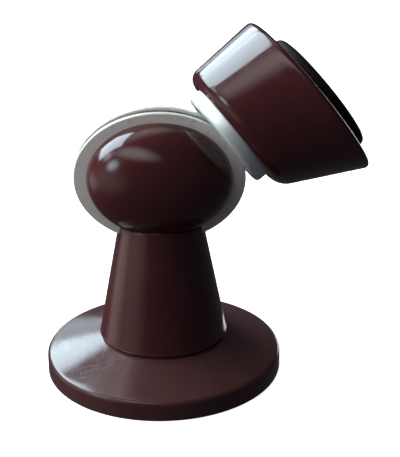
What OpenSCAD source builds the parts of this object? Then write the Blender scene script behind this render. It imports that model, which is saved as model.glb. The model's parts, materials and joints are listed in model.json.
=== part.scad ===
// Magnetic door stop: a floor unit (round base, turning post, oval magnet head)
// and the door unit it holds (steel keeper disc, ball joint, flared cup, door plate).
// Origin: centre of the base on the floor, Z up, the head faces -Y. Millimetres.

/* [Base] */
// radius of the round base
base_r = 30.4; // [24:0.5:36]
// height of the straight rim of the base
base_rim_h = 5; // [3:0.1:8]
// rounding of the rim edge
base_edge_r = 1.2; // [0.4:0.1:2]
// height where the coned top of the base meets the post
base_top_h = 9.7; // [7:0.1:14]
// radius of the concealed floor plate
plate_r = 24; // [18:0.5:27]
// circle radius of the three floor screw holes
floor_hole_circle_r = 17; // [12:0.5:20]
// radius of a floor screw hole
floor_hole_r = 2.25; // [1.5:0.05:3]

/* [Post] */
// outer radius at the foot
post_foot_r = 16.5; // [12:0.1:20]
// outer radius under the head
post_top_r = 10.35; // [7:0.05:13]
// wall thickness of the post
post_wall = 2.6; // [1.8:0.1:4]
// height of the saddle edge that carries the head
saddle_h = 42; // [36:0.1:48]
// pivot bolt shank radius
pivot_r = 3; // [2:0.1:4]
// running clearance between the pivot bolt and its bush
pivot_fit = 0.06; // [0.02:0.01:0.1]

/* [Head] */
// height of the head centre above the floor
head_h = 53; // [48:0.1:60]
// half width of the steel pole plates
head_a = 21.4; // [17:0.1:24]
// half height of the steel pole plates
head_b = 17; // [14:0.05:22]
// depth across both pole plates
stack_w = 6.2; // [5:0.1:9]
// thickness of one pole plate
pole_t = 1.6; // [1:0.1:2.4]
// step from the plate edge in to the dome edge, across
dome_inset_x = 3.2; // [1:0.1:5]
// the same step, up and down
dome_inset_z = 2.35; // [1:0.05:5]
// how far a dome stands out from its plate
dome_depth = 11.8; // [8:0.1:16]
// wall thickness of the domes
dome_wall = 2.4; // [1.6:0.1:3.2]

/* [Keeper and ball joint] */
// angle of the keeper axis down from vertical
keeper_polar = 54.3; // [40:0.1:80]
// turn of the keeper axis about vertical, away from the front
keeper_turn = 17; // [0:0.1:40]
// radius of the keeper disc
keeper_r = 13.4; // [10:0.1:17]
// thickness of the keeper disc
keeper_t = 4.4; // [2:0.1:5]
// how far its skirt stands back past the disc
keeper_skirt = 1.2; // [0.4:0.1:1.5]
// height of the boss round the bolt hole at its back
keeper_boss = 0.6; // [0.2:0.1:1]
// how far the rim of the dished keeper drops past the pole plate edge
keeper_sink = 2.7; // [0:0.1:3]
// depth of the dish in the keeper face
dish_depth = 3.15; // [0.5:0.05:3.5]
// radius of the dish at the keeper face
dish_r = 10.8; // [6:0.1:11.5]
// sideways set of the keeper from the contact point
keeper_set = -0.9; // [-4:0.05:4]
// keeper bolt radius
bolt_r = 2.5; // [2:0.1:3]
// ball radius
ball_r = 5.5; // [4:0.1:7]
// height of the ball above the back of the keeper
ball_rise = 7.9; // [7:0.1:10]

/* [Cup and door plate] */
// radius of the cup at its narrow end
cup_r1 = 17.5; // [14:0.1:20]
// radius of the cup at its wide end
cup_r2 = 23.5; // [18:0.1:26]
// how far the narrow end reaches down round the keeper
cup_over = 1.2; // [0:0.1:2]
// length of the cup
cup_l = 21; // [14:0.1:26]
// sideways step of the wide end from the narrow end
cup_step = 5.1; // [0:0.1:6]
// rounding of the narrow end
cup_edge_r = 4.2; // [1:0.1:5]
// rounding of the wide end
cup_lip_r = 1; // [0.4:0.1:2.5]
// wall thickness of the cup
cup_wall = 2.3; // [1.6:0.1:3]
// radius of the door plate
door_plate_r = 18.4; // [14:0.1:20]
// thickness of the door plate
door_plate_t = 3.2; // [2:0.1:6]
// distance from the door plate centre to a door screw hole
door_hole_circle_r = 12.4; // [8:0.1:16]
// radius of the pad that rests on the door
door_pad_r = 16.6; // [10:0.1:18]
// how far the pad stands out of the cup
door_pad_out = 3.1; // [0.5:0.1:5]
// rounding of the pad edge
door_pad_edge_r = 2.2; // [0.5:0.1:2.6]
// sideways set of the pad from the cup mouth centre
door_pad_set = 1; // [0:0.1:3]

/* [Hidden] */
$fn = 72;
brown = "#43262a";
steel = "#c9cdd0";
// clearance between pieces of one moving body
snug = 0.05;
// clearance between moving bodies
free = 0.3;
half_stack = stack_w / 2;
dome_a = head_a - dome_inset_x;
dome_b = head_b - dome_inset_z;
web_bottom = base_top_h + free;
web_top = web_bottom + 5;
under_web = 7;
tie_x = 12.4;
head_screw_y = 7.4;
keeper_tilt_xz = atan2(cos(keeper_polar), sin(keeper_polar) * cos(keeper_turn));
contact_k = norm([head_a * cos(keeper_tilt_xz), head_b * sin(keeper_tilt_xz)]);
contact_x = pow(head_a, 2) * cos(keeper_tilt_xz) / contact_k;
contact_z = head_h + pow(head_b, 2) * sin(keeper_tilt_xz) / contact_k;
keeper_spin = -28.4;
keeper_back = keeper_t;
boss_top = keeper_back + keeper_boss;
// the dish is a sphere: its radius and the height of its centre
dish_ball_r = (pow(dish_r, 2) + pow(dish_depth, 2)) / (2 * dish_depth);
dish_ball_z = dish_depth - dish_ball_r;
ball_z = keeper_back + ball_rise;
ball_half = 4;
cup_z0 = keeper_back - cup_over;
cup_z1 = cup_z0 + cup_l;
recess_floor = keeper_back + 5;
hub_r = 12;
hub_top = ball_z + 0.4;
plate_z1 = cup_z1 - 0.2;
plate_z0 = plate_z1 - door_plate_t;
seat_in = ball_r + free;
seat_out = seat_in + 1.8;
socket_in = seat_out + free;
cap_screw_x = 10;
washer_z = ball_z + ball_half + 0.1;
nut_z = washer_z + 0.85;
bolt_end = nut_z + 2.6;
// flanks of the cup measured from the keeper axis, and the cone they belong to
flank_low = atan((cup_r2 - cup_r1 + cup_step) / cup_l);
flank_high = atan((cup_r2 - cup_r1 - cup_step) / cup_l);
cone_half = (flank_low + flank_high) / 2;
cone_lean = (flank_low - flank_high) / 2;
apex_z = -2 * cup_r1 / (tan(flank_low) + tan(flank_high));
apex_x = cup_r1 + apex_z * tan(flank_low);

floor_plate();
base_flange();
lock_grub();
pivot_bush();
pivot_bolt();
pivot_washer();
post_column();
post_insert();
head_screws();
pole_plate_front();
pole_plate_rear();
magnet();
magnet_carrier();
dome_front();
dome_rear();
tie_screws();
tie_nuts();
keeper_disc();
keeper_bolt();
keeper_nut();
stop_washer();
ball_bush();
return_spring();
ball_seat();
cup_shell();
socket_cap();
cap_screws();
door_plate();
door_pad();
cup_grub();

// ---------- helpers ----------

// a vertical rod from z0 to z1
module rod(r, z0, z1) {
    translate([0, 0, z0])
        cylinder(r = r, h = z1 - z0);
}

// a flat ring from z0 to z1
module ring(ro, ri, z0, z1) {
    difference() {
        rod(ro, z0, z1);
        rod(ri, z0 - 1, z1 + 1);
    }
}

// children repeated at equal turns about Z
module around(n, start = 0) {
    for (i = [0:n - 1])
        rotate([0, 0, start + i * 360 / n])
            children();
}

// head frame: Z points out of the front dome, X across, Y up
module in_head() {
    translate([0, 0, head_h])
        rotate([90, 0, 0])
            children();
}

// keeper frame: Z runs from the head to the door, X down along the keeper
module in_keeper() {
    translate([contact_x, half_stack, contact_z])
        rotate([0, keeper_polar, keeper_turn])
            rotate([0, 0, keeper_spin])
                translate([keeper_set, 0, -keeper_sink])
                    children();
}

// oval slab in the head frame
module oval(a, b, z0, z1) {
    translate([0, 0, z0])
        linear_extrude(height = z1 - z0)
            scale([a, b])
                circle(r = 1, $fn = 180);
}

// half of an ellipsoid standing on the plane z = 0
module half_egg(a, b, c) {
    intersection() {
        scale([a, b, c])
            sphere(r = 1);
        translate([-2 * a, -2 * b, 0])
            cube([4 * a, 4 * b, 2 * c]);
    }
}

// screw along Z: pan head on top of z, shank below
module pan_screw(r, head_r, head_h, len, z) {
    difference() {
        union() {
            rod(r, z - len, z + 0.01);
            rod(head_r, z, z + head_h);
        }
        translate([0, 0, z + head_h * 0.4])
            cylinder(r = head_r * 0.48, h = head_h, $fn = 6);
    }
}

// ---------- base ----------

module floor_plate() {
    color("#8d9296")
        difference() {
            rod(plate_r, 0, 2.4);
            rod(7.4, -1, 4);
            around(3, 30)
                translate([floor_hole_circle_r, 0, 0]) {
                    rod(floor_hole_r, -1, 4);
                    translate([0, 0, 1])
                        cylinder(r1 = floor_hole_r, r2 = floor_hole_r + 1.6, h = 1.6);
                }
        }
}

module base_flange() {
    color(brown)
        difference() {
            rotate_extrude($fn = 144)
                base_profile();
            rod(plate_r + 0.2, -1, 2.5);
            // lightening recess between the rim and the hub
            difference() {
                rod(plate_r - 1.6, 0, 4.4);
                rod(9.6, -1, 9);
            }
            // pocket for the pivot bolt head
            rod(7.6, -1, under_web);
            // seat of the flanged pivot bush
            rod(4.5, 0, 12);
            translate([0, 0, base_top_h - 1.2])
                cylinder(r = 7.1, h = 3);
            // tapped hole for the locking grub screw at the back
            translate([0, plate_r - 3, 2.9])
                rotate([-90, 0, 0])
                    cylinder(r = 1.5 + snug, h = 12);
        }
}

// half section of the base: upright rim, rounded edge, shallow cone
module base_profile() {
    slope = atan2(base_top_h - base_rim_h, base_r - base_edge_r - post_foot_r);
    polygon([[0, 0], [base_r, 0], [base_r, base_rim_h - base_edge_r],
             for (t = [0:15:90 - slope])
                 [base_r - base_edge_r + base_edge_r * cos(t),
                  base_rim_h - base_edge_r + base_edge_r * sin(t)],
             [base_r - base_edge_r + base_edge_r * sin(slope),
              base_rim_h - base_edge_r + base_edge_r * cos(slope)],
             [post_foot_r - 1, base_top_h],
             [0, base_top_h]]);
}

module lock_grub() {
    color(steel)
        translate([0, plate_r + 0.4, 2.9])
            rotate([-90, 0, 0])
                difference() {
                    cylinder(r = 1.5, h = 5);
                    translate([0, 0, 3.4])
                        cylinder(r = 0.75, h = 4, $fn = 6);
                }
}

module pivot_bush() {
    color("#e6e2d6")
        difference() {
            union() {
                rod(4.5 - snug, under_web + 0.1, base_top_h - 0.2);
                rod(7, base_top_h - 1.2 + snug, base_top_h - 0.1);
            }
            rod(pivot_r + pivot_fit, 0, 20);
        }
}

// ---------- post ----------

module pivot_washer() {
    color(steel)
        ring(6.2, pivot_r + snug, under_web - 1.3, under_web - free);
}

module pivot_bolt() {
    color("#a9adb0")
        difference() {
            union() {
                rod(5.2, 3, under_web - 1.3);
                rod(pivot_r, under_web - 1.4, web_top + 5);
            }
            translate([0, 0, 2])
                cylinder(r = 2.9, h = 2.8, $fn = 6);
        }
}

module post_insert() {
    color("#c8a24a")
        difference() {
            union() {
                rod(4.2, web_bottom + 1, web_top + 4.6);
                ring(4.5, 1, web_top + 0.2, web_top + 1.4);
            }
            rod(pivot_r + snug, 0, 30);
        }
}

// outer radius of the post at a height share t from foot to saddle
function post_r(t) = post_foot_r + (post_top_r - post_foot_r) * t;

module post_column() {
    top = saddle_h;
    color(brown)
        difference() {
            union() {
                difference() {
                    rotate_extrude($fn = 120)
                        polygon([[0, web_bottom],
                                 [post_r(0), web_bottom],
                                 [post_r(1), top],
                                 [0, top]]);
                    // hollow between the foot web and the saddle
                    rotate_extrude()
                        polygon([[0, web_top],
                                 [post_r(0.18) - post_wall, web_top],
                                 [post_r(0.72) - post_wall, 33],
                                 [0, 33]]);
                }
                rod(6.4, web_bottom, web_top + 4.4);
            }
            rod(4.2 + snug, 0, web_top + 6);
            rod(4.5 + snug, web_top + 0.2, web_top + 6);
            // driver access to the two head screws
            for (s = [-1, 1])
                translate([0, s * head_screw_y, 0]) {
                    rod(2.9, 0, web_top + 6);
                    rod(1.6, 20, 60);
                    rod(2.9, 30, 35);
                }
            in_head()
                head_envelope(snug);
        }
}

// space taken by the head: the plate stack and both domes
module head_envelope(gap) {
    oval(head_a + gap, head_b + gap, -half_stack - gap, half_stack + gap);
    for (side = [0, 1])
        mirror([0, 0, side])
            translate([0, 0, half_stack])
                half_egg(dome_a + gap, dome_b + gap, dome_depth + gap);
}

module head_screws() {
    color("#a9adb0")
        for (s = [-1, 1])
            translate([0, s * head_screw_y, 0])
                rotate([180, 0, 0])
                    pan_screw(1.5, 2.6, 1.8, 10.5, -35);
}

// ---------- head ----------

module pole_plate(z0) {
    color(steel)
        in_head()
            difference() {
                oval(head_a, head_b, z0, z0 + pole_t);
                for (s = [-1, 1])
                    translate([s * tie_x, 0, z0 - 1])
                        cylinder(r = 1.6, h = pole_t + 2);
            }
}

module pole_plate_front() {
    pole_plate(half_stack - pole_t);
}

module pole_plate_rear() {
    pole_plate(-half_stack);
}

module magnet() {
    color("#3a3c40")
        in_head()
            difference() {
                translate([0, 0, -half_stack + pole_t + 0.02])
                    cylinder(r = 9.5, h = stack_w - 2 * pole_t - 0.04);
                translate([0, 0, -5])
                    cylinder(r = 2, h = 10);
            }
}

module magnet_carrier() {
    color("#26262a")
        in_head()
            difference() {
                oval(head_a - 0.7, head_b - 0.7, -half_stack + pole_t + 0.02,
                     half_stack - pole_t - 0.02);
                translate([0, 0, -5])
                    cylinder(r = 9.5 + snug, h = 10);
                for (s = [-1, 1])
                    translate([s * tie_x, 0, -5])
                        cylinder(r = 1.6, h = 10);
            }
}

// hollow dome: two posts for the tie screws and a pad for one head screw
module dome(wall_over_nut, screw_bore, pocket_r, pocket_z, pocket_sides) {
    difference() {
        half_egg(dome_a, dome_b, dome_depth);
        difference() {
            half_egg(dome_a - dome_wall, dome_b - dome_wall, dome_depth - dome_wall);
            for (s = [-1, 1])
                translate([s * tie_x, 0, -1])
                    cylinder(r = 4, h = 12);
            translate([0, -dome_b, head_screw_y - half_stack])
                rotate([-90, 0, 0])
                    cylinder(r = 3.3, h = 8);
        }
        for (s = [-1, 1])
            translate([s * tie_x, 0, 0]) {
                translate([0, 0, -1])
                    cylinder(r = 1.5 + snug, h = screw_bore + 1);
                translate([0, 0, pocket_z])
                    cylinder(r = pocket_r, h = wall_over_nut, $fn = pocket_sides);
            }
        translate([0, -dome_b - 1, head_screw_y - half_stack])
            rotate([-90, 0, 0])
                cylinder(r = 1.5 + snug, h = 10);
    }
}

// closed dome with nut pockets against the plate
module dome_front() {
    color(brown)
        in_head()
            translate([0, 0, half_stack])
                dome(3.9, 5.4, 3.3, -1, 6);
}

// dome with open counterbores for the screw heads
module dome_rear() {
    color(brown)
        in_head()
            rotate([0, 180, 0])
                translate([0, 0, half_stack])
                    dome(12, 7, 2.8, 5, 48);
}

module tie_nuts() {
    color(steel)
        in_head()
            for (s = [-1, 1])
                translate([s * tie_x, 0, half_stack + 0.1])
                    difference() {
                        cylinder(r = 3.2, h = 2.6, $fn = 6);
                        translate([0, 0, -1])
                            cylinder(r = 1.5 + snug, h = 6);
                    }
}

module tie_screws() {
    color("#a9adb0")
        in_head()
            rotate([0, 180, 0])
                for (s = [-1, 1])
                    translate([s * tie_x, 0, 0])
                        pan_screw(1.5, 2.7, 1.9, 15.5, half_stack + 5);
}

// ---------- keeper ----------

module keeper_disc() {
    edge = 1.1;
    z1 = keeper_back + keeper_skirt;
    color("#cfd8dc")
        in_keeper()
            difference() {
                rotate_extrude($fn = 96)
                    polygon([[0, 0],
                             for (t = [-90:15:0])
                                 [keeper_r - edge + edge * cos(t), edge + edge * sin(t)],
                             for (t = [0:30:90])
                                 [keeper_r - 0.5 + 0.5 * cos(t), z1 - 0.5 + 0.5 * sin(t)],
                             [0, z1]]);
                // hollow back inside the skirt, with a boss round the bolt hole
                difference() {
                    rod(keeper_r - 1.6, keeper_back, z1 + 1);
                    rod(6, 0, boss_top);
                }
                rod(6.5, boss_top, z1 + 1);
                // dish that straddles the edge of the pole plate
                translate([0, 0, dish_ball_z])
                    sphere(r = dish_ball_r, $fn = 144);
                rod(bolt_r + snug, -1, 9);
                translate([0, 0, dish_depth])
                    cylinder(r1 = 3.9 + snug, r2 = bolt_r + snug, h = 1.4);
                rod(3.9 + snug, 0, dish_depth + 0.01);
            }
}

module keeper_bolt() {
    z0 = dish_depth + 0.05;
    color("#a9adb0")
        in_keeper()
            difference() {
                union() {
                    translate([0, 0, z0])
                        cylinder(r1 = 3.85, r2 = bolt_r, h = 1.35);
                    rod(bolt_r, z0 + 0.5, bolt_end);
                }
                translate([0, 0, z0 - 1])
                    cylinder(r = 1.75, h = 2.6, $fn = 6);
            }
}

module stop_washer() {
    color(steel)
        in_keeper()
            ring(5.2, bolt_r + snug, washer_z, washer_z + 0.8);
}

module keeper_nut() {
    color(steel)
        in_keeper()
            difference() {
                translate([0, 0, nut_z])
                    cylinder(r = 4.6, h = 2.4, $fn = 6);
                rod(bolt_r + snug, 0, 40);
            }
}

// ---------- ball joint ----------

module ball_bush() {
    color("#b9bdc0")
        in_keeper()
            difference() {
                intersection() {
                    translate([0, 0, ball_z])
                        sphere(r = ball_r);
                    rod(ball_r + 1, ball_z - ball_half, ball_z + ball_half);
                }
                rod(bolt_r + 0.08, 0, 40);
            }
}

// round wire wound as flat turns between the keeper and the ball
module return_spring() {
    turns = 2;
    wire = 0.4;
    low = boss_top + wire + 0.1;
    high = ball_z - ball_half - wire - 0.1;
    color("#9aa0a4")
        in_keeper()
            for (i = [0:turns - 1])
                translate([0, 0, low + (high - low) * i / (turns - 1)])
                    rotate_extrude($fn = 48)
                        translate([3.45, 0])
                            circle(r = wire, $fn = 16);
}

module ball_seat() {
    color("#ece8dc")
        in_keeper()
            difference() {
                intersection() {
                    translate([0, 0, ball_z])
                        sphere(r = seat_out);
                    rod(seat_out + 1, ball_z - 3.2, ball_z + 3.2);
                }
                translate([0, 0, ball_z])
                    sphere(r = seat_in);
            }
}

// ---------- cup ----------

// cone of the cup, leaning so that its wide end steps sideways; inset shrinks it
module leaning_cone(inset) {
    from = -apex_z * 0.86;
    to = -apex_z * 1.52;
    shift = inset / sin(cone_half);
    translate([apex_x, 0, apex_z])
        rotate([0, cone_lean, 0])
            translate([0, 0, from])
                cylinder(r1 = (from - shift) * tan(cone_half),
                         r2 = (to - shift) * tan(cone_half),
                         h = to - from, $fn = 144);
}

// outer form of the cup with a rounded narrow end
module cup_form() {
    // centre of a circle that touches the end face and each flank
    low_x = cup_r1 + cup_edge_r * (tan(flank_low) - 1 / cos(flank_low));
    high_x = cup_r1 + cup_edge_r * (tan(flank_high) - 1 / cos(flank_high));
    arc_x = (low_x + high_x) / 2;
    // the same for the rounded lip of the wide end
    lip_z = cup_l - cup_lip_r;
    lip_low = cup_r1 + lip_z * tan(flank_low) - cup_lip_r / cos(flank_low);
    lip_high = cup_r1 + lip_z * tan(flank_high) - cup_lip_r / cos(flank_high);
    lip_x = (lip_low + lip_high) / 2;
    far = cup_r2 + cup_step + 9;
    intersection() {
        leaning_cone(0);
        translate([(low_x - high_x) / 2, 0, 0])
            rotate_extrude($fn = 144)
                polygon([[0, 0],
                         for (t = [-90:12:-18])
                             [arc_x + cup_edge_r * cos(t), cup_edge_r + cup_edge_r * sin(t)],
                         [far, cup_l - 2],
                         [far, cup_l + 1],
                         [0, cup_l + 1]]);
        translate([(lip_low - lip_high) / 2, 0, 0])
            rotate_extrude($fn = 144)
                polygon([[0, -1],
                         [far, -1],
                         [far, lip_z - 6],
                         for (t = [-10:20:90])
                             [lip_x + cup_lip_r * cos(t), lip_z + cup_lip_r * sin(t)],
                         [0, cup_l]]);
    }
}

module cup_shell() {
    color(brown)
        in_keeper()
            difference() {
                translate([0, 0, cup_z0])
                    cup_form();
                // inside of the cup, open at the wide end, hub left standing
                difference() {
                    intersection() {
                        translate([0, 0, cup_z0])
                            leaning_cone(cup_wall);
                        rod(40, recess_floor + 2, cup_z1 + 1);
                    }
                    rod(hub_r, 0, hub_top);
                }
                // recess that lets the keeper sink in
                rod(keeper_r + 1.3, cup_z0 - 1, recess_floor);
                // spherical socket and its way out
                translate([0, 0, ball_z])
                    sphere(r = socket_in);
                around(3, 60)
                    translate([cap_screw_x, 0, 0])
                        rod(1 + snug, recess_floor + 1, hub_top + 1);
                // tapped hole for the grub screw that holds the door plate
                translate([cup_step, 0, plate_z0 + door_plate_t / 2])
                    rotate([-90, 0, 0])
                        cylinder(r = 1.25 + snug, h = 40);
            }
}

// ring that closes the socket behind the seat
module socket_cap() {
    color("#2b2b2e")
        in_keeper()
            difference() {
                rod(hub_r - 0.4, hub_top + snug, ball_z + 3.3);
                translate([0, 0, ball_z])
                    sphere(r = socket_in);
                rod(7.1, 0, 40);
                around(3, 60)
                    translate([cap_screw_x, 0, 0])
                        rod(1.1, 0, 40);
            }
}

module cap_screws() {
    color(steel)
        in_keeper()
            around(3, 60)
                translate([cap_screw_x, 0, 0])
                    pan_screw(1, 1.5, 1.1, 5.1, ball_z + 3.35);
}

module door_plate() {
    color("#2a2526")
        in_keeper()
            translate([cup_step, 0, 0])
                difference() {
                    rod(door_plate_r, plate_z0, plate_z1);
                    // pocket that clears the end of the keeper bolt
                    translate([-cup_step, 0, 0])
                        rod(7, 0, plate_z1 - 0.9);
                    for (s = [-1, 1])
                        translate([0, s * door_hole_circle_r, 0]) {
                            rod(floor_hole_r, 0, 60);
                            translate([0, 0, plate_z0 - 0.01])
                                cylinder(r1 = floor_hole_r + 1.6, r2 = floor_hole_r, h = 1.6);
                        }
                }
}

module door_pad() {
    top = cup_z1 + door_pad_out;
    edge = door_pad_edge_r;
    color("#1d1a1b")
        in_keeper()
            difference() {
                translate([cup_step + door_pad_set, 0, 0])
                    rotate_extrude($fn = 96)
                        polygon([[0, plate_z1 + snug],
                                 [door_pad_r, plate_z1 + snug],
                                 for (t = [0:15:90])
                                     [door_pad_r - edge + edge * cos(t),
                                      top - edge + edge * sin(t)],
                                 [0, top]]);
                // the door screws pass through the pad
                for (s = [-1, 1])
                    translate([cup_step, s * door_hole_circle_r, 0])
                        rod(floor_hole_r + 0.35, 0, 60);
            }
}

module cup_grub() {
    color(steel)
        in_keeper()
            translate([cup_step, door_plate_r + 0.1, plate_z0 + door_plate_t / 2])
                rotate([-90, 0, 0])
                    difference() {
                        cylinder(r = 1.25, h = 2.6);
                        translate([0, 0, 1.2])
                            cylinder(r = 0.65, h = 4, $fn = 6);
                    }
}
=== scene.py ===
import json
import math

import bpy
import bmesh
from mathutils import Matrix, Vector


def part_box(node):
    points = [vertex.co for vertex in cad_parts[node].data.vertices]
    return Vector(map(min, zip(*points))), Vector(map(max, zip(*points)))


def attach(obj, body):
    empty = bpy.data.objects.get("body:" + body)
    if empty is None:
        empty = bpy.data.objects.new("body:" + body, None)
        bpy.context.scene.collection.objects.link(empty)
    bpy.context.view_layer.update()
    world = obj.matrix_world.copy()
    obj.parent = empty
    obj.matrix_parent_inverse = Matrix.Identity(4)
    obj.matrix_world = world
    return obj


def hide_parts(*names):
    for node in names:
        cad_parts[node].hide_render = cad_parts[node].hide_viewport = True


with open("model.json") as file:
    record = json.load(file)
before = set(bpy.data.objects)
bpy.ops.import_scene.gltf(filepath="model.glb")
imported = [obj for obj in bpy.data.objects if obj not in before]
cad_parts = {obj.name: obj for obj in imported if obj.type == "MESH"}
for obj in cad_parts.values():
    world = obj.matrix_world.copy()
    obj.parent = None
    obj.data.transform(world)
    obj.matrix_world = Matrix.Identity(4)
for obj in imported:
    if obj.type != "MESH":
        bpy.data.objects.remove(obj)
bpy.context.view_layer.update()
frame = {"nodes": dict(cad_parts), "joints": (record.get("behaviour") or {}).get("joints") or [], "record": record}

MM = 0.001
ROUND = 256               # segments round a turned piece
CREASE = math.radians(40)  # edges bent by more than this stay crisp
joints = {j["name"]: j for j in frame["joints"]}
nodes = frame["nodes"]


# ---------- sizes taken from the frame ----------

_, base_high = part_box("base_flange")
BASE_R = base_high.x
BASE_H = base_high.z
_, post_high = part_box("post_column")
FOOT_R = post_high.x
plate_low, plate_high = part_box("pole_plate_front")
HEAD_A = (plate_high.x - plate_low.x) / 2
HEAD_B = (plate_high.z - plate_low.z) / 2
HEAD_Z = (plate_high.z + plate_low.z) / 2
HALF_STACK = -plate_low.y
PLATE_T = plate_high.y - plate_low.y
dome_low, dome_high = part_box("dome_front")
DOME_A = (dome_high.x - dome_low.x) / 2
DOME_B = (dome_high.z - dome_low.z) / 2
DOME_D = dome_high.y - dome_low.y

# KEEPER: Z from the head to the door, X down along the keeper. HEAD: Z out of the front dome, Y up.
axis_n = Vector(joints["keeper_release"]["axis"]).normalized()
axis_x = Vector(joints["cup_tilt_a"]["axis"]).normalized()
axis_y = axis_n.cross(axis_x)
keeper_at = Vector(joints["keeper_release"]["pos_m"])
KEEPER = Matrix((
    (axis_x.x, axis_y.x, axis_n.x, keeper_at.x),
    (axis_x.y, axis_y.y, axis_n.y, keeper_at.y),
    (axis_x.z, axis_y.z, axis_n.z, keeper_at.z),
    (0, 0, 0, 1)))
HEAD = Matrix((
    (1, 0, 0, 0),
    (0, 0, -1, 0),
    (0, 1, 0, HEAD_Z),
    (0, 0, 0, 1)))

# sizes repeated from the part source, in millimetres
PLATE_SEAT_R = 24.2       # recess under the base for the floor plate
PLATE_SEAT_H = 2.5
HOLLOW_OUT_R = 22.4       # lightening recess round the hub of the base
HOLLOW_IN_R = 9.6
HOLLOW_H = 4.4
BOLT_POCKET_R = 7.6       # pocket for the pivot bolt's head, up to the web
BOLT_POCKET_H = 7.0
BUSH_R = 4.5              # seat of the flanged pivot bush
BUSH_FLANGE_R = 7.1
BUSH_FLANGE_H = 1.2
BASE_RIM_H = 5.0
POST_TOP_R = 10.35
WEB_BOTTOM = 10.0
SADDLE_H = 42.0
KEEPER_R = 13.4
KEEPER_BACK = 4.4
KEEPER_SKIRT = 1.2
KEEPER_BOSS = 0.6
KEEPER_RIM_W = 1.6
KEEPER_BOSS_R = 6.0
KEEPER_BORE_R = 2.6
SEAT_R = 3.95             # countersink of the keeper bolt's head, at the dish
DISH_DEPTH = 3.15
DISH_R = 10.8
RECESS_R = 14.7
RECESS_FLOOR = KEEPER_BACK + 5
CUP_R1 = 17.5
CUP_R2 = 23.5
CUP_L = 21.0
CUP_OVER = 1.2
CUP_STEP = 5.1
CUP_EDGE_R = 4.2
CUP_LIP_R = 1.4           # 1 in the part source; a little softer here
CUP_Z0 = KEEPER_BACK - CUP_OVER
CUP_Z1 = CUP_Z0 + CUP_L
PAD_R = 16.6
PAD_EDGE_R = 2.2
PAD_SET = 1.0
PAD_OUT = 3.1
DOOR_HOLE_AT = 12.4
DOOR_HOLE_R = 2.6
TIE_HEAD_R = 2.7
TIE_BORE_R = 2.8          # counterbore of a tie screw in the rear dome


# ---------- mesh helpers ----------

def rounded(corners, steps):
    """A profile from (x, y, radius) corners, each turned into an arc (radius 0 keeps it sharp)."""
    out = []
    count = len(corners)
    for i, (x, y, r) in enumerate(corners):
        if r <= 0:
            out.append((x, y))
            continue
        here = Vector((x, y))
        before = Vector(corners[(i - 1) % count][:2]) - here
        after = Vector(corners[(i + 1) % count][:2]) - here
        half = before.angle(after) / 2
        reach = min(r / math.tan(half), before.length * 0.49, after.length * 0.49)
        radius = reach * math.tan(half)
        inward = (before.normalized() + after.normalized()).normalized()
        middle = here + inward * (radius / math.sin(half))
        start = here + before.normalized() * reach - middle
        end = here + after.normalized() * reach - middle
        turn = start.angle_signed(end)
        for k in range(steps + 1):
            a = -turn * k / steps
            out.append((middle.x + start.x * math.cos(a) - start.y * math.sin(a),
                        middle.y + start.x * math.sin(a) + start.y * math.cos(a)))
    return out


def spread(points, gap):
    """More points along the straight stretches of a profile, no further apart than gap."""
    out = []
    for (x0, y0), (x1, y1) in zip(points, points[1:]):
        parts = max(1, int(math.ceil(math.hypot(x1 - x0, y1 - y0) / gap)))
        for k in range(parts):
            out.append((x0 + (x1 - x0) * k / parts, y0 + (y1 - y0) * k / parts))
    out.append(points[-1])
    return out


def grid_mesh(name, rows, closed_rows):
    """A surface through rows of points; each row runs once round.

    A row whose points coincide becomes one vertex. closed_rows joins the last row to the first."""
    verts, faces, index = [], [], []
    for row in rows:
        if all((p - row[0]).length < 1e-9 for p in row):
            index.append([len(verts)] * len(row))
            verts.append(row[0])
        else:
            index.append(list(range(len(verts), len(verts) + len(row))))
            verts.extend(row)
    pairs = list(zip(range(len(rows) - 1), range(1, len(rows))))
    if closed_rows:
        pairs.append((len(rows) - 1, 0))
    for a, b in pairs:
        for i in range(len(rows[0])):
            j = (i + 1) % len(rows[0])
            quad = [index[a][i], index[a][j], index[b][j], index[b][i]]
            face = [v for k, v in enumerate(quad) if v != quad[k - 1]]
            if len(set(face)) >= 3:
                faces.append(face)
    mesh = bpy.data.meshes.new(name)
    mesh.from_pydata([tuple(v) for v in verts], [], faces)
    mesh.validate()
    bm = bmesh.new()
    bm.from_mesh(mesh)
    bmesh.ops.recalc_face_normals(bm, faces=bm.faces)
    bm.to_mesh(mesh)
    bm.free()
    return mesh


def shade(mesh):
    """Smooth shading between the crisp edges."""
    for p in mesh.polygons:
        p.use_smooth = True
    mesh.set_sharp_from_angle(angle=CREASE)


def finish_piece(name, mesh, material, body, node):
    """Makes the piece, sets it on its body in the frame, and lets it stand in for a CAD node."""
    shade(mesh)
    mesh.materials.clear()
    mesh.materials.append(material)
    piece = bpy.data.objects.new(name, mesh)
    bpy.context.scene.collection.objects.link(piece)
    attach(piece, body)
    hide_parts(node)
    return piece


def on_circle(r, z, angle):
    return (r * math.cos(angle), r * math.sin(angle), z)


def turned(name, profile, matrix, closed, place=on_circle):
    """A turned or oval form. profile is (r, z) in mm; place maps (r, z, angle) to a point in mm.

    closed joins the profile's end to its start."""
    rows = []
    for r, z in profile:
        row = []
        for i in range(ROUND):
            a = 2 * math.pi * i / ROUND
            row.append(matrix @ (Vector(place(r, z, a)) * MM))
        rows.append(row)
    return grid_mesh(name, rows, closed)


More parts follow.
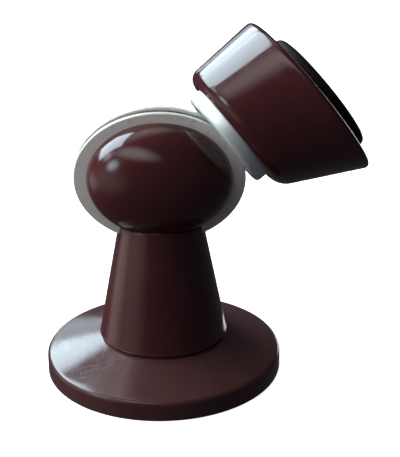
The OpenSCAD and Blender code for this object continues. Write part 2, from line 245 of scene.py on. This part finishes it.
def cut_holes(piece, rods):
    """Drills rods (centre, axis, radius, length; metres) out of a piece, and applies the cut."""
    for centre, axis, radius, length in rods:
        bm = bmesh.new()
        turn = axis.to_track_quat("Z", "Y").to_matrix().to_4x4()
        bmesh.ops.create_cone(bm, cap_ends=True, segments=64, radius1=radius, radius2=radius,
                              depth=length, matrix=Matrix.Translation(centre) @ turn)
        cutter_mesh = bpy.data.meshes.new("cutter")
        bm.to_mesh(cutter_mesh)
        bm.free()
        cutter = bpy.data.objects.new("cutter", cutter_mesh)
        bpy.context.scene.collection.objects.link(cutter)
        mod = piece.modifiers.new("hole", "BOOLEAN")
        mod.operation = "DIFFERENCE"
        mod.solver = "EXACT"
        mod.object = cutter
        bpy.context.view_layer.update()
        graph = bpy.context.evaluated_depsgraph_get()
        shape = bpy.data.meshes.new_from_object(piece.evaluated_get(graph))
        piece.modifiers.remove(mod)
        old = piece.data
        piece.data = shape
        bpy.data.meshes.remove(old)
        bpy.data.objects.remove(cutter)
        bpy.data.meshes.remove(cutter_mesh)
    shade(piece.data)


# ---------- materials ----------

def node_material(name):
    mat = bpy.data.materials.new(name)
    mat.use_nodes = True
    tree = mat.node_tree
    shader = tree.nodes["Principled BSDF"]
    return mat, tree, shader


def add(tree, kind, **values):
    node = tree.nodes.new(kind)
    for key, value in values.items():
        setattr(node, key, value)
    return node


def coords(tree, scale=(1, 1, 1), turn=(0, 0, 0)):
    """Object coordinates, in metres at rest, turned and scaled for a texture."""
    where = add(tree, "ShaderNodeTexCoord")
    mapping = add(tree, "ShaderNodeMapping")
    mapping.inputs["Rotation"].default_value = turn
    mapping.inputs["Scale"].default_value = scale
    tree.links.new(where.outputs["Object"], mapping.inputs["Vector"])
    return mapping.outputs["Vector"]


def noise(tree, vector, scale, detail=3.0, roughness=0.5):
    node = add(tree, "ShaderNodeTexNoise")
    node.inputs["Scale"].default_value = scale
    node.inputs["Detail"].default_value = detail
    node.inputs["Roughness"].default_value = roughness
    tree.links.new(vector, node.inputs["Vector"])
    return node.outputs["Fac"]


def remap(tree, value, low, high, to_low, to_high):
    node = add(tree, "ShaderNodeMapRange")
    node.inputs["From Min"].default_value = low
    node.inputs["From Max"].default_value = high
    node.inputs["To Min"].default_value = to_low
    node.inputs["To Max"].default_value = to_high
    tree.links.new(value, node.inputs["Value"])
    return node.outputs["Result"]


def math_node(tree, operation, a, b):
    node = add(tree, "ShaderNodeMath", operation=operation)
    for socket, value in zip(node.inputs, (a, b)):
        if isinstance(value, (int, float)):
            socket.default_value = value
        else:
            tree.links.new(value, socket)
    return node.outputs["Value"]


def mixed_colour(tree, fac, first, second):
    node = add(tree, "ShaderNodeMix", data_type="RGBA")
    tree.links.new(fac, node.inputs["Factor"])
    for socket, colour in ((node.inputs[6], first), (node.inputs[7], second)):
        if isinstance(colour, tuple):
            socket.default_value = (*colour, 1)
        else:
            tree.links.new(colour, socket)
    return node.outputs[2]


def bump(tree, height, strength, distance, normal=None):
    node = add(tree, "ShaderNodeBump")
    node.inputs["Strength"].default_value = strength
    node.inputs["Distance"].default_value = distance
    tree.links.new(height, node.inputs["Height"])
    if normal is not None:
        tree.links.new(normal, node.inputs["Normal"])
    return node.outputs["Normal"]


def scratches(tree, vector_scale, turn, scale, width):
    """Thin lines in one general direction: the narrow middle band of a stretched noise."""
    value = noise(tree, coords(tree, vector_scale, turn), scale, 2.0)
    off = math_node(tree, "ABSOLUTE", math_node(tree, "SUBTRACT", value, 0.5), 0)
    return remap(tree, off, 0.0, width, 1.0, 0.0)


def brown_plastic(name, draw_lines=0.0, film=0.0):
    """Glossy moulded plastic: faint clouds, hairline scratches, wipe marks and a little dust.

    draw_lines is how strongly upright lines, left by the mould's draw, show in the surface.
    film is the share of thin grey dust that has settled evenly on it."""
    mat, tree, shader = node_material(name)
    base = coords(tree)
    cloud = noise(tree, base, 55, 4)
    fleck = noise(tree, base, 1100, 2)
    colour = mixed_colour(tree, remap(tree, cloud, 0.3, 0.7, 0, 1),
                          (0.044, 0.0100, 0.0110), (0.060, 0.0148, 0.0152))
    dust = remap(tree, fleck, 0.74, 0.80, film, film + 0.10)
    colour = mixed_colour(tree, dust, colour, (0.12, 0.09, 0.085))
    tree.links.new(colour, shader.inputs["Base Color"])
    smear = remap(tree, noise(tree, base, 130, 5, 0.6), 0.35, 0.75, 0.09, 0.17)
    lines = scratches(tree, (1, 14, 3), (0.3, 0.5, 0.2), 60, 0.012)
    lines_b = scratches(tree, (9, 1, 2), (1.0, 0.2, 0.9), 75, 0.010)
    line_sum = math_node(tree, "ADD", lines, lines_b)
    rough = math_node(tree, "ADD", smear, math_node(tree, "MULTIPLY", line_sum, 0.05))
    rough = math_node(tree, "ADD", rough, math_node(tree, "MULTIPLY", dust, 0.3))
    tree.links.new(rough, shader.inputs["Roughness"])
    shader.inputs["IOR"].default_value = 1.50
    peel = noise(tree, base, 420, 2)
    wave = noise(tree, base, 70, 1)
    normal = bump(tree, wave, 0.22, 0.00018)
    normal = bump(tree, peel, 0.06, 0.00005, normal)
    normal = bump(tree, line_sum, 0.12, -0.00002, normal)
    if draw_lines:
        upright = noise(tree, coords(tree, (1, 1, 0.02)), 330, 3, 0.6)
        normal = bump(tree, upright, draw_lines, 0.00012, normal)
    tree.links.new(normal, shader.inputs["Normal"])
    return mat


def metal(name, bright, dull, rough, stretch, line_scale, metallic=1.0):
    """Plated or polished metal: fine grain or lines, a few dull clouds and pits.

    stretch scales the grain along each axis, so unequal numbers turn it into lines."""
    mat, tree, shader = node_material(name)
    base = coords(tree)
    lined = coords(tree, stretch)
    cloud = noise(tree, base, 120, 4, 0.6)
    lines = noise(tree, lined, line_scale, 3)
    pits = remap(tree, noise(tree, base, 1500, 1), 0.72, 0.8, 0, 1)
    fac = remap(tree, cloud, 0.38, 0.72, 0, 0.25)
    dulled = math_node(tree, "MAXIMUM", fac, math_node(tree, "MULTIPLY", pits, 0.2))
    colour = mixed_colour(tree, dulled, bright, dull)
    tree.links.new(colour, shader.inputs["Base Color"])
    shader.inputs["Metallic"].default_value = metallic
    level = math_node(tree, "ADD", remap(tree, lines, 0.3, 0.7, rough * 0.8, rough * 1.25),
                      math_node(tree, "MULTIPLY", fac, 0.25))
    tree.links.new(level, shader.inputs["Roughness"])
    normal = bump(tree, lines, 0.12, 0.00004)
    normal = bump(tree, pits, 0.15, -0.00003, normal)
    tree.links.new(normal, shader.inputs["Normal"])
    return mat


def soft_plastic(name, dark, light, rough, grain=700, shine=0.5):
    """Nylon, black plastic, rubber or magnet: even colour with a fine grain."""
    mat, tree, shader = node_material(name)
    shader.inputs["Specular IOR Level"].default_value = shine
    base = coords(tree)
    cloud = noise(tree, base, 90, 4)
    fine = noise(tree, base, grain, 2)
    tree.links.new(mixed_colour(tree, cloud, dark, light), shader.inputs["Base Color"])
    tree.links.new(remap(tree, fine, 0.3, 0.7, rough * 0.85, min(1.0, rough * 1.15)),
                   shader.inputs["Roughness"])
    tree.links.new(bump(tree, fine, 0.25, 0.00006), shader.inputs["Normal"])
    return mat


EVEN = (1, 1, 1)
LINED = (1, 1, 8)
MATERIALS = {
    "brown_plastic": brown_plastic("brown_plastic"),
    "brown_post": brown_plastic("brown_post", draw_lines=0.30),
    "brown_base": brown_plastic("brown_base", film=0.15),
    "pole_steel": metal("pole_steel", (0.84, 0.80, 0.745), (0.60, 0.555, 0.52), 0.28,
                        EVEN, 300, metallic=0.2),
    "keeper_steel": metal("keeper_steel", (0.86, 0.94, 0.93), (0.64, 0.67, 0.65), 0.34,
                          EVEN, 260, metallic=0.5),
    "hardware_steel": metal("hardware_steel", (0.50, 0.50, 0.50), (0.27, 0.26, 0.25), 0.30,
                            LINED, 400),
    "brass": metal("brass", (0.62, 0.44, 0.18), (0.36, 0.24, 0.10), 0.28, LINED, 400),
    "magnet": soft_plastic("magnet", (0.035, 0.035, 0.038), (0.055, 0.055, 0.058), 0.6),
    "nylon": soft_plastic("nylon", (0.62, 0.60, 0.53), (0.70, 0.68, 0.60), 0.45),
    "black_plastic": soft_plastic("black_plastic", (0.012, 0.012, 0.014), (0.022, 0.021, 0.023),
                                  0.5),
    "rubber": soft_plastic("rubber", (0.006, 0.0035, 0.0035), (0.012, 0.0075, 0.0075), 0.6,
                           grain=900, shine=0.15),
}


# ---------- base ----------

def make_base():
    """Turned base: upright rim, shallow cone up to the post, and the hollows underneath."""
    foot = FOOT_R / MM
    top = BASE_H / MM
    out = BASE_R / MM
    chamfer = 0.12
    hub_foot = 0.3
    bush_floor = top - BUSH_FLANGE_H
    corners = [(PLATE_SEAT_R, 0.0, 0.2), (out - chamfer, 0.0, 0.15), (out, chamfer, 0.15),
               (out, BASE_RIM_H, 1.25), (foot - 0.8, top, 0.5),
               (BUSH_FLANGE_R, top, 0.1), (BUSH_FLANGE_R, bush_floor, 0),
               (BUSH_R, bush_floor, 0), (BUSH_R, BOLT_POCKET_H, 0),
               (BOLT_POCKET_R, BOLT_POCKET_H, 0.1), (BOLT_POCKET_R, hub_foot, 0.1),
               (HOLLOW_IN_R, hub_foot, 0.1), (HOLLOW_IN_R, HOLLOW_H, 0.5),
               (HOLLOW_OUT_R, HOLLOW_H, 0.5), (HOLLOW_OUT_R, PLATE_SEAT_H, 0.1),
               (PLATE_SEAT_R, PLATE_SEAT_H, 0.1)]
    profile = rounded(corners, 8)
    profile = spread(profile + [profile[0]], 1.2)[:-1]
    mesh = turned("base_flange_form", profile, Matrix.Identity(4), True)
    finish_piece("base_flange_form", mesh, MATERIALS["brown_base"], "base",
                 "base_flange")


# ---------- post ----------

def post_radius(t):
    """Radius in mm of the straight taper, at a share t of the way up."""
    foot = FOOT_R / MM
    return foot + (POST_TOP_R - foot) * t


def saddle_z(x, y):
    """Height in mm, just under the head, above a point."""
    gap = 0.05
    depth = DOME_D / MM
    off = max(0.0, abs(y) - HALF_STACK / MM)
    inside = 1 - (x / (DOME_A / MM)) ** 2 - (off / depth) ** 2
    return HEAD_Z / MM - (DOME_B / MM) * math.sqrt(max(inside, 0.02)) - gap


def make_post():
    """Blind socket and underside of the foot, the outer skin, a rolled lip, and the saddle."""
    levels = 48
    bends = 6
    lip = 0.45
    foot_round = 0.45
    socket_r, socket_top = 4.4, WEB_BOTTOM + 4.6
    foot = FOOT_R / MM
    angles = [2 * math.pi * i / ROUND for i in range(ROUND)]
    rows = []

    def ring(r, z):
        rows.append([Vector(on_circle(r, z, a)) * MM for a in angles])

    rows.append([Vector((0, 0, socket_top)) * MM] * ROUND)
    ring(socket_r, socket_top)
    ring(socket_r, WEB_BOTTOM)
    ring(foot - 3, WEB_BOTTOM)
    ring(foot - foot_round, WEB_BOTTOM)
    for k in range(1, bends):
        t = math.radians(90 * k / bends)
        ring(foot - foot_round + foot_round * math.sin(t),
             WEB_BOTTOM + foot_round - foot_round * math.cos(t))

    def edge(a):
        """Radius and height where the outer skin meets the head."""
        z = SADDLE_H
        for _ in range(6):
            r = post_radius(min(1.0, (z - WEB_BOTTOM) / (SADDLE_H - WEB_BOTTOM)))
            z = saddle_z(r * math.cos(a), r * math.sin(a))
        return r, z

    edges = [edge(a) for a in angles]

    def skin(share, drop, inward):
        """A row of the outer skin, at a share of the way from the foot to the edge less drop."""
        row = []
        start = WEB_BOTTOM + foot_round
        for a, (_, z_top) in zip(angles, edges):
            z = start + (z_top - drop - start) * share
            r = post_radius((z - WEB_BOTTOM) / (SADDLE_H - WEB_BOTTOM)) - inward
            row.append(Vector(on_circle(r, z, a)) * MM)
        rows.append(row)

    for k in range(levels + 1):
        skin(k / levels, lip, 0.0)
    for k in range(1, bends + 1):
        t = math.radians(90 * k / bends)
        skin(1.0, lip * (1 - math.sin(t)), lip * (1 - math.cos(t)))
    # saddle surface, going in under the head
    for share in (0.9, 0.75, 0.55, 0.3, 0.08):
        row = []
        for a, (r_top, _) in zip(angles, edges):
            r = (r_top - lip) * share
            z = saddle_z(r * math.cos(a), r * math.sin(a))
            row.append(Vector(on_circle(r, z, a)) * MM)
        rows.append(row)
    rows.append([Vector((0, 0, saddle_z(0, 0))) * MM] * ROUND)
    mesh = grid_mesh("post_column_form", rows, False)
    finish_piece("post_column_form", mesh, MATERIALS["brown_post"], "post",
                 "post_column")


# ---------- head ----------

def make_dome(name, node, side):
    """Half an ellipsoid with a rounded rim, closed by a flat just clear of its plate."""
    a, b, d = DOME_A / MM, DOME_B / MM, DOME_D / MM
    rim = 0.35
    flat = 0.02
    latitudes = 56
    profile = [(0.0, flat), (0.90, flat), (1.0 - rim / b, flat)]
    for k in range(1, 5):
        t = math.radians(90 * k / 5)
        profile.append((1.0 - (rim / b) * (1 - math.sin(t)), flat + rim * (1 - math.cos(t))))
    for k in range(1, latitudes + 1):
        t = math.radians(90 * k / latitudes)
        z = d * math.sin(t)
        if z > rim:
            profile.append((math.cos(t), z))
    turn = HEAD if side > 0 else HEAD @ Matrix.Rotation(math.pi, 4, "Y")
    lift = turn @ Matrix.Translation((0, 0, HALF_STACK))
    mesh = turned(name, profile, lift, False,
                  lambda r, z, ang: (a * r * math.cos(ang), b * r * math.sin(ang), z))
    return finish_piece(name, mesh, MATERIALS["brown_plastic"], "post", node)


def oval_plate(name, node, z0, z1, inset, edge, slot):
    """Oval plate between z0 and z1 of the head frame, inset from the head's outline.

    Its profile runs in insets from the outline; None stands for the middle."""
    well_inside = 9.0
    corners = [(well_inside, z0, 0), (inset, z0, edge), (inset, z1, edge), (well_inside, z1, 0)]
    profile = [(None, z0)] + rounded(corners, 6) + [(None, z1)]
    a, b = HEAD_A / MM, HEAD_B / MM

    def place(r, z, ang):
        if r is None:
            return (0, 0, z)
        return ((a - r) * math.cos(ang), (b - r) * math.sin(ang), z)

    mesh = turned(name, profile, HEAD, False, place)
    finish_piece(name, mesh, MATERIALS[slot], "post", node)


def make_head():
    """Both domes, with the tie screws' counterbores at the back, and the plates between them."""
    make_dome("dome_front_form", "dome_front", 1)
    rear = make_dome("dome_rear_form", "dome_rear", -1)
    low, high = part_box("tie_screws")
    tie_x = (high.x - low.x) / 2 - TIE_HEAD_R * MM
    bore_at, bore_length = HALF_STACK + 11 * MM, 12 * MM
    cut_holes(rear, [(Vector((s * tie_x, bore_at, HEAD_Z)), Vector((0, 1, 0)),
                      TIE_BORE_R * MM, bore_length) for s in (-1, 1)])
    half = HALF_STACK / MM
    inner = half - PLATE_T / MM
    gap = 0.02
    oval_plate("pole_plate_front_form", "pole_plate_front", inner, half, 0, 0.3, "pole_steel")
    oval_plate("pole_plate_rear_form", "pole_plate_rear", -half, -inner, 0, 0.3, "pole_steel")
    oval_plate("magnet_carrier_form", "magnet_carrier", -inner + gap, inner - gap, 0.7, 0.1,
               "black_plastic")


# ---------- keeper and cup ----------

def make_keeper():
    """Dished steel disc: bored and countersunk middle, dish, rolled edge, skirt and low boss."""
    ball_r = (DISH_R ** 2 + DISH_DEPTH ** 2) / (2 * DISH_DEPTH)
    steps = 10
    skirt = KEEPER_BACK + KEEPER_SKIRT
    boss = KEEPER_BACK + KEEPER_BOSS
    inside = KEEPER_R - KEEPER_RIM_W
    corners = [(KEEPER_BORE_R, DISH_DEPTH + 1.4, 0), (SEAT_R, DISH_DEPTH, 0)]
    for k in range(steps + 1):
        r = SEAT_R + (DISH_R - SEAT_R) * k / steps
        z = DISH_DEPTH - ball_r + math.sqrt(ball_r ** 2 - r ** 2)
        corners.append((r, z, 0.25 if k == steps else 0))
    corners += [(KEEPER_R, 0, 1.1), (KEEPER_R, skirt, 0.5), (inside, skirt, 0.3),
                (inside, KEEPER_BACK, 0.3), (KEEPER_BOSS_R, KEEPER_BACK, 0),
                (KEEPER_BOSS_R, boss, 0.1), (KEEPER_BORE_R, boss, 0.1)]
    profile = rounded(corners, 8)
    profile = spread(profile + [profile[0]], 1.5)[:-1]
    mesh = turned("keeper_disc_form", profile, KEEPER, True)
    finish_piece("keeper_disc_form", mesh, MATERIALS["keeper_steel"], "keeper",
                 "keeper_disc")


def cup_place(r, z, ang):
    """Leaning cup: each level is a near circle whose centre steps sideways with height.

    The outside is a little narrower across the lean. The recess and everything inside it stay
    round and upright."""
    narrower = 0.027
    share = min(max((z - CUP_Z0) / CUP_L, 0), 1)
    outer = min(max((r - RECESS_R) / 2, 0), 1)
    return (r * math.cos(ang) + CUP_STEP * share * outer,
            r * (1 - narrower * outer) * math.sin(ang), z)


def make_cup():
    """Flared shell: an arc round the keeper's recess, flank, lip, inner wall, floor and bore.

    The arc is tangent to the flank and starts just outside the recess."""
    grow = (CUP_R2 - CUP_R1) / CUP_L
    flank = math.atan(grow)
    wall = 2.4
    mouth = CUP_R2 - 2.8
    bore = 7.4
    floor = RECESS_FLOOR + 2
    floor_r = CUP_R1 - wall + grow * (floor - CUP_Z0)
    arc_x = CUP_R1 + CUP_EDGE_R * (math.tan(flank) - 1 / math.cos(flank))
    arc_z = CUP_Z0 + CUP_EDGE_R
    first = -math.acos((RECESS_R + 0.1 - arc_x) / CUP_EDGE_R)
    steps = 12
    profile = []
    for k in range(steps + 1):
        t = first + (-flank - first) * k / steps
        profile.append((arc_x + CUP_EDGE_R * math.cos(t), arc_z + CUP_EDGE_R * math.sin(t)))
    corners = [(*profile[-1], 0), (CUP_R2, CUP_Z1, CUP_LIP_R), (mouth, CUP_Z1, 0.35),
               (mouth - 0.3, CUP_Z1 - 4, 0), (floor_r, floor, 0.8), (bore, floor, 0.2),
               (bore, RECESS_FLOOR, 0.2), (RECESS_R, RECESS_FLOOR, 0.3),
               (RECESS_R, profile[0][1] + 0.1, 0)]
    profile += rounded(corners, 10)[1:]
    profile = spread(profile + [profile[0]], 1.2)[:-1]
    mesh = turned("cup_shell_form", profile, KEEPER, True, cup_place)
    finish_piece("cup_shell_form", mesh, MATERIALS["brown_plastic"], "cup",
                 "cup_shell")


def make_pad():
    """Round pad with a soft edge, drilled for the two door screws."""
    z0, z1 = CUP_Z1 - 0.15, CUP_Z1 + PAD_OUT
    corners = [(PAD_R, z0, 0.1), (PAD_R, z1, PAD_EDGE_R), (0.0, z1, 0)]
    profile = [(0.0, z0)] + rounded(corners, 10)
    mesh = turned("door_pad_form", profile, KEEPER, False,
                  lambda r, z, a: (r * math.cos(a) + CUP_STEP + PAD_SET, r * math.sin(a), z))
    pad = finish_piece("door_pad_form", mesh, MATERIALS["rubber"], "cup", "door_pad")
    holes = [KEEPER @ Vector((CUP_STEP * MM, s * DOOR_HOLE_AT * MM, CUP_Z1 * MM)) for s in (-1, 1)]
    cut_holes(pad, [(hole, axis_n, DOOR_HOLE_R * MM, 20 * MM) for hole in holes])


def dress_nodes():
    """Materials and softened edges for the CAD nodes that stay visible."""
    slots = {s["node"]: s["material_slot"] for s in frame["record"]["subparts"]}
    for name, obj in nodes.items():
        obj.data.materials.clear()
        obj.data.materials.append(MATERIALS[slots[name]])
        soft = obj.modifiers.new("edges", "BEVEL")
        soft.width = 0.12 * MM
        soft.segments = 2
        soft.limit_method = "ANGLE"
        soft.angle_limit = CREASE


make_base()
make_post()
make_head()
make_keeper()
make_cup()
make_pad()
dress_nodes()


# ---------- camera ----------

def make_camera():
    """Looks down on the object from in front, a little rolled."""
    elevation = math.radians(23.12)
    roll = math.radians(-0.64)
    distance = 0.350
    target = Vector((9.88, 0, 38.21)) * MM
    back = Vector((0, -math.cos(elevation), math.sin(elevation)))
    right = Vector((1, 0, 0))
    up = back.cross(right)
    r = right * math.cos(roll) + up * math.sin(roll)
    u = up * math.cos(roll) - right * math.sin(roll)
    cam = bpy.data.cameras.new("camera")
    cam.sensor_width = 36
    cam.lens = 108.654
    cam.clip_start, cam.clip_end = 0.02, 20
    obj = bpy.data.objects.new("camera", cam)
    place = target + back * distance
    obj.matrix_world = Matrix((
        (r.x, u.x, back.x, place.x),
        (r.y, u.y, back.y, place.y),
        (r.z, u.z, back.z, place.z),
        (0, 0, 0, 1)))
    bpy.context.scene.collection.objects.link(obj)
    bpy.context.scene.camera = obj


# ---------- light and floor ----------

MIDDLE = Vector((0, 0, 0.035))  # what the lights face


def plane(name, squares, size):
    """A flat square mesh, size metres from its middle to its edge."""
    bm = bmesh.new()
    bmesh.ops.create_grid(bm, x_segments=squares, y_segments=squares, size=size)
    mesh = bpy.data.meshes.new(name)
    bm.to_mesh(mesh)
    bm.free()
    return mesh


def half_span(angle, distance):
    """Half the width that fills an angle, in degrees, at a distance."""
    return distance * math.tan(math.radians(angle / 2))


def aim(name, data, azimuth, elevation, distance):
    """Hangs a light or card that far from the object, facing it and unseen by the camera.

    azimuth is 0 in front of the object, 90 to its left and 180 behind it."""
    a, e = math.radians(azimuth), math.radians(elevation)
    away = Vector((-math.sin(a) * math.cos(e), -math.cos(a) * math.cos(e), math.sin(e)))
    obj = bpy.data.objects.new(name, data)
    obj.location = MIDDLE + away * distance
    obj.rotation_mode = "QUATERNION"
    obj.rotation_quaternion = away.to_track_quat("Z", "Y")
    obj.visible_camera = False
    bpy.context.scene.collection.objects.link(obj)
    return obj


def panel(name, azimuth, elevation, wide, high, radiance, colour=(1, 1, 1), reflected=True):
    """A soft box. wide and high are the angles it fills, in degrees; radiance is how bright."""
    distance = 1.2
    light = bpy.data.lights.new(name, "AREA")
    light.shape = "RECTANGLE"
    light.size = 2 * half_span(wide, distance)
    light.size_y = 2 * half_span(high, distance)
    light.energy = radiance * math.pi * light.size * light.size_y
    light.color = colour
    aim(name, light, azimuth, elevation, distance).visible_glossy = reflected


def soft_card(name, azimuth, elevation, wide, high, radiance, colour):
    """A clear oval card whose glow fades out smoothly towards its rim. Measures as for panel."""
    distance = 1.1
    mat = bpy.data.materials.new(name)
    mat.use_nodes = True
    tree = mat.node_tree
    tree.nodes.remove(tree.nodes["Principled BSDF"])
    glow = add(tree, "ShaderNodeEmission")
    glow.inputs["Color"].default_value = (*colour, 1)
    where = add(tree, "ShaderNodeTexCoord")
    length = add(tree, "ShaderNodeVectorMath", operation="LENGTH")
    tree.links.new(where.outputs["Object"], length.inputs[0])
    fade = add(tree, "ShaderNodeMapRange", interpolation_type="SMOOTHSTEP")
    fade.inputs["From Min"].default_value = 1.0
    fade.inputs["From Max"].default_value = 0.15
    fade.inputs["To Max"].default_value = radiance
    tree.links.new(length.outputs["Value"], fade.inputs["Value"])
    tree.links.new(fade.outputs["Result"], glow.inputs["Strength"])
    clear = add(tree, "ShaderNodeBsdfTransparent")
    both = add(tree, "ShaderNodeAddShader")
    tree.links.new(glow.outputs["Emission"], both.inputs[0])
    tree.links.new(clear.outputs["BSDF"], both.inputs[1])
    tree.links.new(both.outputs["Shader"], tree.nodes["Material Output"].inputs["Surface"])
    mesh = plane(name, 1, 1.0)
    mesh.materials.append(mat)
    card = aim(name, mesh, azimuth, elevation, distance)
    card.scale = (half_span(wide, distance), half_span(high, distance), 1)


def make_stage():
    """Pale floor that glows softly and casts no light, a dim world, and the lights."""
    mesh = plane("floor", 8, 3.0)
    floor = bpy.data.objects.new("floor", mesh)
    floor.location = (0, 0, -0.0002)
    mat, tree, shader = node_material("floor")
    shader.inputs["Base Color"].default_value = (0.86, 0.86, 0.87, 1)
    shader.inputs["Roughness"].default_value = 0.9
    shader.inputs["Emission Color"].default_value = (1, 1, 1, 1)
    shader.inputs["Emission Strength"].default_value = 0.95
    mesh.materials.append(mat)
    bpy.context.scene.collection.objects.link(floor)
    floor.visible_glossy = False
    floor.visible_diffuse = False

    world = bpy.data.worlds.new("studio")
    bpy.context.scene.world = world
    world.use_nodes = True
    background = world.node_tree.nodes["Background"]
    background.inputs["Color"].default_value = (0.86, 0.82, 1.0, 1)
    background.inputs["Strength"].default_value = 0.06

    sky = (0.72, 0.90, 1.0)
    panel("window_edge", 162, 11, 9, 20, 1.8, sky)
    panel("window_middle", 149, 26, 17, 19, 9.5, sky)
    panel("window_side", 120, 36, 34, 35, 11.0, sky)
    soft_card("window_left", 66, 23, 28, 26, 6.5, sky)
    soft_card("window_glow", 92, 30, 26, 22, 5.0, sky)
    soft_card("sheen", 46, 50, 80, 32, 2.3, (0.97, 0.98, 1.0))
    soft_card("ceiling", 150, 64, 70, 40, 1.3, (1.0, 0.95, 0.90))
    soft_card("front_left", 66, 0, 80, 60, 0.5, (1.0, 0.92, 0.84))
    soft_card("low_left", 104, -12, 50, 34, 0.9, (1.0, 0.93, 0.86))
    soft_card("right_edge", -152, -4, 34, 20, 6.0, (1.0, 0.94, 0.98))
    panel("ceiling_lamp", 154, 61, 2.5, 1.5, 7.0)
    panel("key", 82, 30, 45, 45, 3.4, (1.0, 0.99, 0.98), False)


make_camera()
make_stage()
view = bpy.context.scene.view_settings
view.view_transform = "Standard"
view.look = "None"
view.exposure = 0.0
